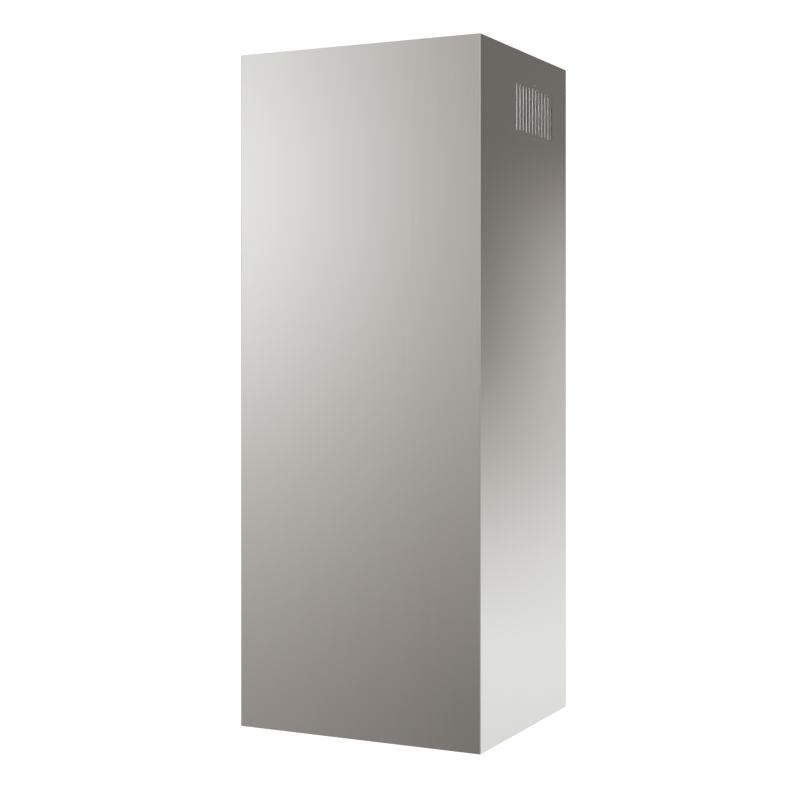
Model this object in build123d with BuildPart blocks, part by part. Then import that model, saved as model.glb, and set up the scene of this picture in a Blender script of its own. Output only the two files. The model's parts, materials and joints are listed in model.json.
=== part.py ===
from build123d import *

import math
import os

# A ceiling-hung column range hood: a plain folded casing around an angle frame that carries a
# blower chassis, a duct up to a two-way air diverter, and an underside with filter, lamps and keys.
# Millimetres. The origin is on the ceiling, in the middle of the ceiling bracket. +Z is up and the
# front faces -Y, so everything hangs below z = 0.

# ------------------------------------------------------------------ driving dimensions
# Casing
casing_width = 356.0
casing_depth = 309.0
casing_height = 915.0
casing_sheet = 1.0
casing_bend = 1.6          # outside radius of the folded corners
casing_flange = 12.0       # flange folded inwards at the lower edge
seam_gap = 0.3             # between sheets that slide past each other
cover_flange = 14.0        # rear cover's side flanges, folded forwards inside the casing's legs
cover_notch = 46.0         # length at the top where those flanges make room for the bracket

# Vent slots in both sides, with a peg hole above and below them
vent_y = 32.9              # the whole air path is centred this far behind the middle
vent_depth = 76.4          # centre of the slots below the ceiling
slot_count = 12
slot_pitch = 11.5
slot_width = 5.5
slot_length = 64.0
peg_spacing = 74.0
peg_radius = 2.2
peg_clearance = 0.2
peg_shy = 0.6              # the pegs' ends stay this far inside the casing's outer face

# Hook slots near the rear edge of each side
hook_inset = 9.2           # from the rear edge
hook_top = 17.0            # slot's upper end below the ceiling
hook_slot_width = 6.0
hook_slot_length = 18.0
hook_tab_width = 5.0
hook_tab_height = 14.0
hook_shy = 0.2             # the tab stays this far inside the casing's outer face

# Spring clips that hold the rear cover, one row on each side
clip_top_depth = 120.0     # middle of the highest clips below the ceiling
clip_foot_height = 130.0   # middle of the lowest clips above the lower edge
clip_width = 10.0
clip_pad_height = 20.0
clip_sheet = 0.8
clip_leg_gap = 6.0
clip_reach = 8.0           # how far the legs stand inside the angle
clip_slot_clearance = 0.4

# Ceiling bracket
bracket_sheet = 2.0
bracket_flange = 40.0
bracket_opening_x = 220.0
bracket_opening_y = 190.0
bracket_opening_corner = 12.0
bracket_notch = 9.0        # cut up into the side flanges where the diverter's sleeves pass
bracket_notch_gap = 3.0
bolt_spacing_x = 260.0
bolt_spacing_y = 236.0
bolt_hole_radius = 4.25
bolt_slot_length = 16.5

# Angle frame
angle_leg = 25.0
angle_sheet = 1.5
brace_depth = 330.0        # middle of the cross braces below the ceiling
brace_height = 25.0

# Screws
screw_radius = 2.0
screw_head_radius = 4.0
screw_head_height = 2.4
screw_cross_length = 4.4
screw_cross_width = 1.0
screw_cross_depth = 1.2
chassis_screw_drop = 25.0  # upper side screws below the chassis's top plate
chassis_screw_rise = 40.0  # lower side screws above the tray

# Underside tray
tray_recess = 3.0          # tray face above the casing's flange
tray_sheet = 1.2
filter_rim = 7.0           # rim folded up round the filter opening
filter_opening_x = 270.0
filter_opening_y = 216.0
filter_opening_centre_y = 24.0
tray_screw_inset = 16.0    # in from the chassis's sides
tray_screw_middle = 50.0   # middle pairs from the hood's centre line
tray_screw_end = 14.0      # end pairs in from the chassis's front and rear

# Filter
filter_side_gap = 2.0
filter_frame_height = 10.0
filter_frame_border = 16.0
filter_sheet = 1.2
filter_corner = 3.0
filter_lift = 0.2
filter_tab_length = 9.0
filter_tab_width = 40.0
filter_tab_spacing = 170.0
pull_width = 56.0
pull_drop = 7.5
pull_margin = 2.0
magnet_width = 24.0
magnet_depth = 10.0
magnet_height = 5.0
magnet_reach = 10.0        # how far it stands over the filter's frame

# Lamps and keys, in the strip in front of the filter
strip_y = -120.0
lamp_x = 126.0
lamp_body_radius = 26.0
lamp_bezel_radius = 30.0
lamp_height = 24.0
lamp_edge = 2.0
lamp_cavity = 10.0
led_board_thickness = 1.6
led_board_radius = 20.0
led_count = 6
led_size = 4.0
led_height = 1.0
lens_radius = 22.5
lens_thickness = 2.5
trim_thickness = 1.0       # what stands proud of the tray's face
fascia_width = 150.0
fascia_depth = 34.0
fascia_body_width = 140.0
fascia_body_depth = 26.0
fascia_body_height = 11.0
fascia_wall = 1.5
fascia_corner = 3.0
key_count = 5
key_pitch = 26.0
key_radius = 8.0
key_clearance = 0.25
key_flange_radius = 9.6
key_flange = 1.4
key_proud = 2.2
key_edge = 0.8
key_travel = 1.5
key_stem_radius = 2.5
switch_size = 6.0
switch_height = 3.5
switch_gap = 0.2           # left between stem and switch at full travel
board_thickness = 1.6

# Blower chassis
chassis_sheet = 1.0
chassis_height = 320.0     # above the tray
chassis_flange = 20.0

# Blower
impeller_radius = 75.0
impeller_half_width = 50.0
impeller_blades = 36
blade_length = 13.0
blade_thickness = 0.9
blade_angle = 40.0
disc_thickness = 1.5
hub_radius = 11.0
hub_length = 18.0
nut_radius = 7.5
nut_height = 6.0
scroll_start_radius = 86.0
scroll_growth = 11.0       # step of the spiral's radius in each quarter turn
scroll_half_width = 55.0
scroll_wall = 1.5
scroll_lip = 9.0
outlet_left_offset = 26.0
outlet_flange = 11.0
outlet_screw_spacing = 50.0
gasket_thickness = 3.0
inlet_radius = 60.0
inlet_ring_length = 8.0
inlet_ring_wall = 2.0
axis_drop = 152.0          # impeller axis below the chassis's top plate

# Motor
motor_radius = 42.0
motor_inner_end = 8.0      # from the impeller's middle disc
motor_outer_end = 66.0
motor_wall = 2.0
bell_length = 20.0
winding_reach = 6.0
shaft_radius = 4.0
shaft_tip = 27.0
shaft_end_gap = 1.0
shaft_hole_clearance = 1.0
rotor_radius = 22.0
rotor_gap = 0.5
bearing_radius = 11.0
bearing_width = 7.0
bearing_seat = 1.5         # bell metal left outside each bearing
running_clearance = 0.05
spider_ring = 3.0
spider_width = 6.0
spider_angles = (90, 210, 330)
grommet_radius = 5.0
grommet_length = 6.0

# Charcoal cartridges
cartridge_radius = 72.0
cartridge_wall = 2.0
cartridge_length = 42.0
bayonet_clearance = 0.5
bayonet_reach = 3.0
bayonet_angle = 22.0
bayonet_count = 3
bayonet_root = 0.5         # how far the lugs and dogs run into their rings
dog_thickness = 2.0
grille_thickness = 2.0
grille_slot_count = 16
grille_slot_width = 7.0
grille_inner_radius = 18.0
grille_border = 9.5
charcoal_thickness = 22.0

# Duct
duct_outer_radius = 76.0
duct_wall = 1.0
collar_wall = 1.5
collar_height = 62.0
collar_flange = 12.0
collar_screw_count = 4
flap_thickness = 1.0
flap_gap = 0.8
flap_pin_radius = 1.5
flap_barrel_radius = 3.0
flap_barrel_length = 16.0
flap_barrel_web = 1.0
front_barrel_x = 42.0      # the front flap's barrels stand outside the rear flap's
rear_barrel_x = 14.0
flap_height = 30.0         # flap axis above the chassis's top plate
ledge_width = 2.5
ledge_gap = 0.1
duct_lap = 40.0
clamp_width = 10.0
clamp_thickness = 1.2
clamp_lug_width = 8.0
clamp_lug_reach = 11.0

# Air diverter
diverter_wall = 1.5
diverter_half_width = 120.0
diverter_height = 84.0
sleeve_overlap = 16.0
sleeve_wall = 1.6
sleeve_flange = 1.6
sleeve_flange_reach = 2.0
splitter_width = 60.0
splitter_drop = 26.0
splitter_sheet = 1.5
vane_angle = 56.0
vane_gap = 0.8             # between the vanes' outer edges and the casing
vane_width = 12.0
vane_thickness = 1.4
window_side_margin = 1.0   # window in the sleeve's flange past the outer slots
window_end_margin = 1.5    # and past the slots' ends
hanger_width = 20.0
hanger_foot = 18.0
hanger_set = 4.0           # outwards from the bracket's opening

# Electrical box on the chassis
box_width = 150.0
box_depth = 76.0
box_height = 52.0
box_wall = 1.5
box_y = -101.0
lid_thickness = 1.5
lid_lip = 5.0
lid_clearance = 0.2
gland_radius = 10.0
gland_edge = 3.0
gland_neck = 7.5
gland_hex = 12.0
gland_up = 22.0
gland_down = 10.0
gland_bore = 4.5
gland_x = -50.0
gland_y = -85.0            # under the bracket's opening, so that the cable drops straight in
terminal_width = 20.0
terminal_depth = 52.0
terminal_foot = 10.0
terminal_count = 5
terminal_pitch = 10.0
terminal_cell_width = 12.0
terminal_cell_depth = 7.5
terminal_height = 17.0
terminal_hole_radius = 2.2
terminal_hole_depth = 3.0
capacitor_x = -10.0
capacitor_set = 15.0       # forwards from the box's middle
capacitor_radius = 14.0
capacitor_height = 38.0
capacitor_edge = 2.0
driver_x = 40.0
driver_width = 44.0
driver_depth = 60.0
driver_height = 24.0
driver_edge = 2.0

# ------------------------------------------------------------------ places worked out from them
inner_x = casing_width / 2 - casing_sheet
inner_y = casing_depth / 2 - casing_sheet
bracket_x = inner_x - seam_gap
bracket_y = inner_y - seam_gap
frame_x = bracket_x - bracket_sheet
frame_y = bracket_y - bracket_sheet
chassis_x = frame_x - angle_sheet
chassis_y = frame_y - angle_sheet
tray_x = inner_x - seam_gap - casing_sheet - seam_gap
tray_y = inner_y - seam_gap
tray_face = -casing_height + casing_sheet + tray_recess
tray_top = tray_face + tray_sheet
rim_top = tray_top + filter_rim
chassis_top = tray_top + chassis_height
plate_under = chassis_top - chassis_sheet
vent_z = -vent_depth
hook_y = casing_depth / 2 - hook_inset
hook_z = -hook_top - hook_slot_length / 2
peg_points = [(vent_y, vent_z + side * peg_spacing / 2) for side in (1, -1)]
clip_depths = [clip_top_depth, casing_height / 2, casing_height - clip_foot_height]
clip_x = frame_x - angle_leg / 2
bracket_screw_z = -bracket_flange / 2 - bracket_sheet / 2
screw_rows_y = (-frame_y + angle_leg / 2, frame_y - angle_leg / 2)
chassis_screw_depths = (-chassis_top + chassis_screw_drop, -tray_top - chassis_screw_rise)

scroll_reach = scroll_start_radius + 3 * scroll_growth
outlet_width = scroll_reach - outlet_left_offset
axis_y = vent_y - outlet_left_offset - outlet_width / 2
axis_z = chassis_top - axis_drop
scroll_top = plate_under - gasket_thickness
collar_radius = duct_outer_radius - duct_wall
flap_z = chassis_top + flap_height
diverter_under = vent_z - diverter_height / 2
diverter_top = vent_z + diverter_height / 2
diverter_half_depth = duct_outer_radius + diverter_wall
filter_rear = filter_opening_centre_y + filter_opening_y / 2
filter_front = filter_opening_centre_y - filter_opening_y / 2
filter_under = rim_top + filter_lift
filter_x = filter_opening_x - 2 * filter_side_gap
filter_y = filter_opening_y - 2 * filter_side_gap
fascia_face = tray_face - trim_thickness
fascia_floor = tray_face + trim_thickness
board_under = fascia_floor + fascia_body_height
key_stem_top = board_under - switch_height - switch_gap - key_travel
key_xs = [(number - (key_count - 1) / 2) * key_pitch for number in range(key_count)]

UP = (Align.CENTER, Align.CENTER, Align.MIN)
DOWN = (Align.CENTER, Align.CENTER, Align.MAX)
os.makedirs("parts", exist_ok=True)


def finish(piece, name):
    """Label one finished piece and write its file."""
    piece.part.label = name
    export_step(piece.part, f"parts/{name}.step")


def along_x(x, y, z, outward):
    """Place whose local +Z points along +X or -X, as outward is 1 or -1."""
    return Plane((x, y, z), x_dir=(0, 1, 0), z_dir=(outward, 0, 0)).location


def pan_screw(length):
    """Screw with its head seated on the local origin and its shank along local -Z."""
    Cylinder(screw_head_radius, screw_head_height, align=UP)
    Cylinder(screw_radius, length, align=DOWN)
    with Locations((0, 0, screw_head_height)):
        Box(screw_cross_length, screw_cross_width, screw_cross_depth, align=DOWN, mode=Mode.SUBTRACT)
        Box(screw_cross_width, screw_cross_length, screw_cross_depth, align=DOWN, mode=Mode.SUBTRACT)


def ring(outer, inner, height, align=UP):
    """Ring about local Z."""
    Cylinder(outer, height, align=align)
    Cylinder(inner, height, align=align, mode=Mode.SUBTRACT)


# ------------------------------------------------------------------ casing
def casing_outline(inset, bend):
    """Lines of the casing in plan, three sides folded at the front corners and a straight rear."""
    half = casing_width / 2 - inset
    front = -casing_depth / 2 + inset
    rear = casing_depth / 2
    FilletPolyline((-half, rear), (-half, front), (half, front), (half, rear), radius=bend)
    Line((half, rear), (-half, rear))


with BuildPart() as casing_shell:
    with BuildSketch(Plane.XY.offset(-casing_height)):
        with BuildLine():
            casing_outline(0, casing_bend)
        make_face()
    extrude(amount=casing_height)
    with BuildSketch(Plane.XY.offset(-casing_height)):
        with BuildLine():
            casing_outline(casing_sheet, casing_bend - casing_sheet)
        make_face()
    extrude(amount=casing_height, mode=Mode.SUBTRACT)
    with BuildSketch(Plane.XY.offset(-casing_height)):
        with Locations((0, (inner_y - seam_gap - casing_depth / 2) / 2)):
            Rectangle(2 * inner_x + casing_sheet, casing_depth / 2 + inner_y - seam_gap - casing_sheet)
        with Locations((0, casing_flange / 2)):
            Rectangle(2 * (inner_x - casing_flange), casing_depth - casing_flange, mode=Mode.SUBTRACT)
    extrude(amount=casing_sheet)
    with BuildSketch(Plane.YZ):
        with Locations((vent_y, vent_z)):
            with GridLocations(slot_pitch, 1, slot_count, 1):
                SlotOverall(slot_length, slot_width, rotation=90)
        with Locations(*peg_points):
            Circle(peg_radius + peg_clearance)
        with Locations((hook_y, hook_z)):
            SlotOverall(hook_slot_length, hook_slot_width, rotation=90)
    extrude(amount=casing_width, both=True, mode=Mode.SUBTRACT)
finish(casing_shell, "casing_shell")

with BuildPart() as rear_cover:
    cover_x = inner_x - seam_gap
    with BuildSketch(Plane.XY.offset(-casing_height)):
        with Locations((0, inner_y + casing_sheet / 2)):
            Rectangle(2 * cover_x, casing_sheet)
    extrude(amount=casing_height)
    with BuildSketch(Plane.XY.offset(-casing_height + casing_sheet + seam_gap)):
        for side in (1, -1):
            with Locations((side * (cover_x - casing_sheet / 2), inner_y - cover_flange / 2)):
                Rectangle(casing_sheet, cover_flange)
    extrude(amount=casing_height - casing_sheet - seam_gap - cover_notch)
    with BuildSketch(Plane.XY.offset(-casing_height)):
        with Locations((0, inner_y - casing_flange / 2)):
            Rectangle(2 * (inner_x - casing_flange - seam_gap), casing_flange)
    extrude(amount=casing_sheet)
finish(rear_cover, "rear_cover")

with BuildPart() as rear_cover_clips:
    for side in (1, -1):
        for depth in clip_depths:
            with Locations((side * clip_x, inner_y, -depth)):
                Box(clip_width, clip_sheet, clip_pad_height, align=(Align.CENTER, Align.MAX, Align.CENTER))
            for leg in (1, -1):
                leg_z = -depth + leg * (clip_leg_gap + clip_sheet) / 2
                with Locations((side * clip_x, inner_y, leg_z)):
                    Box(clip_width, inner_y - frame_y + angle_sheet + clip_reach, clip_sheet,
                        align=(Align.CENTER, Align.MAX, Align.CENTER))
finish(rear_cover_clips, "rear_cover_clips")

# ------------------------------------------------------------------ ceiling bracket and angle frame
def clip_slots(y):
    """Cut the slots that the rear cover's clips pass through, in the sheet at y."""
    for side in (1, -1):
        for depth in clip_depths:
            with Locations((side * clip_x, y, -depth)):
                Box(clip_width + clip_slot_clearance, 4 * angle_sheet,
                    clip_leg_gap + 2 * clip_sheet + clip_slot_clearance, mode=Mode.SUBTRACT)


with BuildPart() as ceiling_bracket:
    with BuildSketch():
        Rectangle(2 * bracket_x, 2 * bracket_y)
    extrude(amount=-bracket_flange)
    with BuildSketch(Plane.XY.offset(-bracket_sheet)):
        Rectangle(2 * frame_x, 2 * frame_y)
    extrude(amount=-bracket_flange, mode=Mode.SUBTRACT)
    with BuildSketch():
        RectangleRounded(bracket_opening_x, bracket_opening_y, bracket_opening_corner)
        with GridLocations(bolt_spacing_x, bolt_spacing_y, 2, 2):
            SlotOverall(bolt_slot_length, 2 * bolt_hole_radius)
    extrude(amount=-bracket_sheet, mode=Mode.SUBTRACT)
    for side in (1, -1):
        with BuildSketch(Plane.YZ.offset(side * frame_x)):
            with Locations((hook_y, -hook_top - hook_tab_height / 2)):
                SlotOverall(hook_tab_height, hook_tab_width, rotation=90)
        extrude(amount=side * (casing_width / 2 - hook_shy - frame_x))
    with Locations((0, vent_y, -bracket_flange)):
        notch_depth = 2 * (diverter_half_depth + bracket_notch_gap)
        Box(casing_width, notch_depth, bracket_notch, align=UP, mode=Mode.SUBTRACT)
    for row_y in screw_rows_y:
        with Locations(along_x(0, row_y, bracket_screw_z, 1)):
            Cylinder(screw_radius, casing_width, mode=Mode.SUBTRACT)
finish(ceiling_bracket, "ceiling_bracket")

with BuildPart() as frame_uprights:
    with BuildSketch(Plane.XY.offset(tray_top)):
        for side_x in (1, -1):
            for side_y in (1, -1):
                with Locations((side_x * (frame_x - angle_leg / 2), side_y * (frame_y - angle_leg / 2))):
                    Rectangle(angle_leg, angle_leg)
                inner_shift = (angle_leg + angle_sheet) / 2
                with Locations((side_x * (frame_x - inner_shift), side_y * (frame_y - inner_shift))):
                    Rectangle(angle_leg - angle_sheet, angle_leg - angle_sheet, mode=Mode.SUBTRACT)
    extrude(amount=-bracket_sheet - tray_top)
    for row_y in screw_rows_y:
        with Locations(along_x(0, row_y, bracket_screw_z, 1)):
            Cylinder(screw_radius, casing_width, mode=Mode.SUBTRACT)
        for depth in chassis_screw_depths:
            with Locations(along_x(0, row_y, -depth, 1)):
                Cylinder(screw_radius, casing_width, mode=Mode.SUBTRACT)
    clip_slots(frame_y)
finish(frame_uprights, "frame_uprights")

with BuildPart() as frame_cross_braces:
    for side in (1, -1):
        with Locations((side * (chassis_x - angle_sheet / 2), 0, -brace_depth)):
            Box(angle_sheet, 2 * chassis_y, brace_height)
        with Locations((0, side * (chassis_y - angle_sheet / 2), -brace_depth + brace_height + seam_gap)):
            Box(2 * chassis_x, angle_sheet, brace_height)
finish(frame_cross_braces, "frame_cross_braces")

with BuildPart() as frame_screws:
    for side in (1, -1):
        for row_y in screw_rows_y:
            with Locations(along_x(side * chassis_x, row_y, bracket_screw_z, -side)):
                pan_screw(angle_sheet + bracket_sheet)
            for depth in chassis_screw_depths:
                with Locations(along_x(side * (chassis_x - chassis_sheet), row_y, -depth, -side)):
                    pan_screw(chassis_sheet + angle_sheet)
finish(frame_screws, "frame_screws")

# ------------------------------------------------------------------ underside tray
tray_screw_rows = (tray_screw_middle, chassis_y - tray_screw_end)
tray_screw_points = [(side_x * (chassis_x - tray_screw_inset), side_y * row)
                     for side_x in (1, -1) for side_y in (1, -1) for row in tray_screw_rows]

with BuildPart() as under_tray:
    with BuildSketch(Plane.XY.offset(tray_top)):
        Rectangle(2 * tray_x, 2 * tray_y)
    extrude(amount=-tray_sheet - tray_recess)
    with BuildSketch(Plane.XY.offset(tray_face)):
        Rectangle(2 * (tray_x - tray_sheet), 2 * (tray_y - tray_sheet))
    extrude(amount=-tray_recess, mode=Mode.SUBTRACT)
    with BuildSketch(Plane.XY.offset(tray_face)):
        with Locations((0, filter_opening_centre_y)):
            Rectangle(filter_opening_x + 2 * tray_sheet, filter_opening_y + 2 * tray_sheet)
    extrude(amount=tray_sheet + filter_rim)
    with BuildSketch(Plane.XY.offset(tray_face)):
        with Locations((0, filter_opening_centre_y)):
            Rectangle(filter_opening_x, filter_opening_y)
        with Locations((lamp_x, strip_y), (-lamp_x, strip_y)):
            Circle(lamp_body_radius)
        with Locations((0, strip_y)):
            Rectangle(fascia_body_width, fascia_body_depth)
        with Locations(*tray_screw_points):
            Circle(screw_radius)
    extrude(amount=tray_sheet + filter_rim, mode=Mode.SUBTRACT)
finish(under_tray, "under_tray")

with BuildPart() as tray_screws:
    for x, y in tray_screw_points:
        with Locations(Plane((x, y, tray_face), z_dir=(0, 0, -1)).location):
            pan_screw(tray_sheet + chassis_sheet)
finish(tray_screws, "tray_screws")

# ------------------------------------------------------------------ grease filter
with BuildPart() as filter_frame:
    with BuildSketch(Plane.XY.offset(filter_under)):
        with Locations((0, filter_opening_centre_y)):
            RectangleRounded(filter_x, filter_y, filter_corner)
    extrude(amount=filter_frame_height)
    with BuildSketch(Plane.XY.offset(filter_under + filter_sheet)):
        with Locations((0, filter_opening_centre_y)):
            Rectangle(filter_x - 2 * filter_sheet, filter_y - 2 * filter_sheet)
    extrude(amount=filter_frame_height - 2 * filter_sheet, mode=Mode.SUBTRACT)
    with BuildSketch(Plane.XY.offset(filter_under)):
        with Locations((0, filter_opening_centre_y)):
            Rectangle(filter_x - 2 * filter_frame_border, filter_y - 2 * filter_frame_border)
    extrude(amount=filter_frame_height, mode=Mode.SUBTRACT)
    tab_start = filter_opening_centre_y + filter_y / 2 - filter_sheet
    tab_end = filter_rear + tray_sheet + filter_tab_length
    with BuildSketch(Plane.XY.offset(filter_under)):
        with Locations((0, (tab_start + tab_end) / 2)):
            with GridLocations(filter_tab_spacing, 1, 2, 1):
                Rectangle(filter_tab_width, tab_end - tab_start)
    extrude(amount=filter_sheet)
finish(filter_frame, "filter_frame")

with BuildPart() as filter_mesh:
    mesh_x = filter_x - 2 * filter_sheet - 2 * seam_gap
    mesh_y = filter_y - 2 * filter_sheet - 2 * seam_gap
    mesh_bottom = filter_under + filter_sheet
    with BuildSketch(Plane.XY.offset(mesh_bottom)):
        with Locations((0, filter_opening_centre_y)):
            Rectangle(mesh_x, mesh_y)
    extrude(amount=filter_frame_height - 2 * filter_sheet)
finish(filter_mesh, "filter_mesh")

pull_y = filter_opening_centre_y - filter_y / 2 + filter_frame_border / 2
with BuildPart() as filter_pull:
    with BuildSketch(Plane.YZ.offset(-pull_width / 2)):
        with Locations((pull_y, filter_under)):
            Rectangle(filter_frame_border - 2 * pull_margin, filter_sheet, align=(Align.CENTER, Align.MAX))
        with Locations((pull_y + filter_frame_border / 2 - pull_margin, filter_under)):
            Rectangle(filter_sheet, pull_drop, align=(Align.MAX, Align.MAX))
    extrude(amount=pull_width)
finish(filter_pull, "filter_pull")

with BuildPart() as filter_magnets:
    post_y = filter_front - tray_sheet
    pad_under = filter_under + filter_frame_height + seam_gap
    pad_depth = magnet_depth + tray_sheet + filter_side_gap + magnet_reach
    for side in (1, -1):
        magnet_x = side * filter_tab_spacing / 2
        with Locations((magnet_x, post_y, tray_top)):
            Box(magnet_width, magnet_depth, pad_under - tray_top, align=(Align.CENTER, Align.MAX, Align.MIN))
        with Locations((magnet_x, post_y - magnet_depth, pad_under)):
            Box(magnet_width, pad_depth, magnet_height, align=(Align.CENTER, Align.MIN, Align.MIN))
finish(filter_magnets, "filter_magnets")

# ------------------------------------------------------------------ lamps
# Each lamp is pushed up through the tray, with its bezel under the tray and its lens flush in it.
with BuildPart() as lamp_housings:
    with Locations((lamp_x, strip_y, fascia_face), (-lamp_x, strip_y, fascia_face)):
        Cylinder(lamp_bezel_radius, trim_thickness, align=UP)
        Cylinder(lamp_body_radius, trim_thickness + lamp_height, align=UP)
        Cylinder(lens_radius, lamp_cavity, align=UP, mode=Mode.SUBTRACT)
    fillet(lamp_housings.faces().group_by(Axis.Z)[-1].edges(), lamp_edge)
finish(lamp_housings, "lamp_housings")

with BuildPart() as lamp_lenses:
    with Locations((lamp_x, strip_y, fascia_face), (-lamp_x, strip_y, fascia_face)):
        Cylinder(lens_radius, lens_thickness, align=UP)
finish(lamp_lenses, "lamp_lenses")

with BuildPart() as lamp_led_boards:
    for x in (-lamp_x, lamp_x):
        with Locations((x, strip_y, fascia_face + lamp_cavity)):
            Cylinder(led_board_radius, led_board_thickness, align=DOWN)
            with PolarLocations(led_board_radius / 2, led_count):
                Box(led_size, led_size, led_board_thickness + led_height, align=DOWN)
finish(lamp_led_boards, "lamp_led_boards")

# ------------------------------------------------------------------ keys
with BuildPart() as control_fascia:
    with BuildSketch(Plane.XY.offset(fascia_face)):
        with Locations((0, strip_y)):
            RectangleRounded(fascia_width, fascia_depth, fascia_corner)
    extrude(amount=trim_thickness)
    with BuildSketch(Plane.XY.offset(tray_face)):
        with Locations((0, strip_y)):
            Rectangle(fascia_body_width, fascia_body_depth)
    extrude(amount=board_under - tray_face)
    with BuildSketch(Plane.XY.offset(fascia_floor)):
        with Locations((0, strip_y)):
            Rectangle(fascia_body_width - 2 * fascia_wall, fascia_body_depth - 2 * fascia_wall)
    extrude(amount=fascia_body_height, mode=Mode.SUBTRACT)
    for x in key_xs:
        with Locations((x, strip_y, fascia_face)):
            Cylinder(key_radius + key_clearance, 4 * trim_thickness, mode=Mode.SUBTRACT)
finish(control_fascia, "control_fascia")

with BuildPart() as control_board:
    with Locations((0, strip_y, board_under)):
        Box(fascia_body_width, fascia_body_depth, board_thickness, align=UP)
    for x in key_xs:
        with Locations((x, strip_y, board_under)):
            Box(switch_size, switch_size, switch_height, align=DOWN)
finish(control_board, "control_board")

key_names = ("button_lamps", "button_speed_1", "button_speed_2", "button_speed_3", "button_stop")
for x, key_name in zip(key_xs, key_names):
    with BuildPart() as key:
        with Locations((x, strip_y, fascia_face - key_proud)):
            Cylinder(key_radius, key_proud + fascia_floor - fascia_face, align=UP)
            fillet(key.faces().sort_by(Axis.Z)[0].edges(), key_edge)
        with Locations((x, strip_y, fascia_floor)):
            Cylinder(key_flange_radius, key_flange, align=UP)
            Cylinder(key_stem_radius, key_stem_top - fascia_floor, align=UP)
    finish(key, key_name)

# ------------------------------------------------------------------ blower chassis
outlet_screw_x = scroll_half_width + scroll_wall + outlet_flange / 2
outlet_screw_points = [(side_x * outlet_screw_x, vent_y + side_y * outlet_screw_spacing / 2)
                       for side_x in (1, -1) for side_y in (1, -1)]
collar_screw_radius = collar_radius + collar_flange / 2

with BuildPart() as blower_chassis:
    with BuildSketch(Plane.XY.offset(tray_top)):
        Rectangle(2 * chassis_x, 2 * chassis_y)
    extrude(amount=chassis_height)
    with BuildSketch(Plane.XY.offset(tray_top)):
        Rectangle(2 * (chassis_x - chassis_sheet), 2 * (chassis_y - chassis_sheet))
    extrude(amount=chassis_height - chassis_sheet, mode=Mode.SUBTRACT)
    with BuildSketch(Plane.XY.offset(tray_top)):
        for side in (1, -1):
            with Locations((side * (chassis_x - chassis_flange / 2), 0)):
                Rectangle(chassis_flange, 2 * chassis_y)
        with Locations(*tray_screw_points):
            Circle(screw_radius, mode=Mode.SUBTRACT)
    extrude(amount=chassis_sheet)
    with BuildSketch(Plane.XY.offset(chassis_top)):
        with Locations((0, vent_y)):
            Rectangle(2 * scroll_half_width, outlet_width)
            with PolarLocations(collar_screw_radius, collar_screw_count, start_angle=45):
                Circle(screw_radius)
        with Locations(*outlet_screw_points):
            Circle(screw_radius)
    extrude(amount=-chassis_sheet, mode=Mode.SUBTRACT)
    for row_y in screw_rows_y:
        for depth in chassis_screw_depths:
            with Locations(along_x(0, row_y, -depth, 1)):
                Cylinder(screw_radius, casing_width, mode=Mode.SUBTRACT)
    clip_slots(chassis_y)
finish(blower_chassis, "blower_chassis")

# ------------------------------------------------------------------ blower
spiral = [((axis_y, axis_z), scroll_start_radius, 90),
          ((axis_y + scroll_growth, axis_z), scroll_start_radius + scroll_growth, 180),
          ((axis_y + scroll_growth, axis_z + scroll_growth), scroll_start_radius + 2 * scroll_growth, 270)]


def scroll_outline(grow, top):
    """Lines of the spiral with its outlet upwards, grown outwards by grow, in the YZ plane."""
    left = axis_y + outlet_left_offset - grow
    right = axis_y + scroll_reach + grow
    shoulder = axis_z + scroll_start_radius + grow
    for centre, radius, start in spiral:
        CenterArc(centre, radius + grow, start, 90)
    Polyline((right, axis_z + scroll_growth), (right, top), (left, top), (left, shoulder), (axis_y, shoulder))


def lip_points():
    """Middles of the joining lip, three on the spiral and one on each side of the outlet."""
    points = []
    for centre, radius, start in spiral:
        angle = math.radians(start + 45)
        reach = radius + scroll_wall + scroll_lip / 2
        points.append((centre[0] + reach * math.cos(angle), centre[1] + reach * math.sin(angle)))
    lip_middle = scroll_wall + scroll_lip / 2
    outlet_middle = (axis_z + scroll_start_radius + scroll_top) / 2
    points.append((axis_y + scroll_reach + lip_middle, outlet_middle))
    points.append((axis_y + outlet_left_offset - lip_middle, outlet_middle + scroll_lip))
    return points


def bayonet_ring(inner, outer):
    """Three short lugs between two radii about the impeller's axis, as a face in the YZ plane."""
    chord = 2 * outer * math.sin(math.radians(bayonet_angle / 2))
    with Locations((axis_y, axis_z)):
        with PolarLocations((inner + outer) / 2, bayonet_count, start_angle=90):
            Rectangle(2 * (outer - inner), chord)
        Circle(outer, mode=Mode.INTERSECT)
        Circle(inner, mode=Mode.SUBTRACT)


inlet_ring_radius = inlet_radius + inlet_ring_wall
inlet_ring_end = scroll_half_width + scroll_wall + inlet_ring_length


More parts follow.
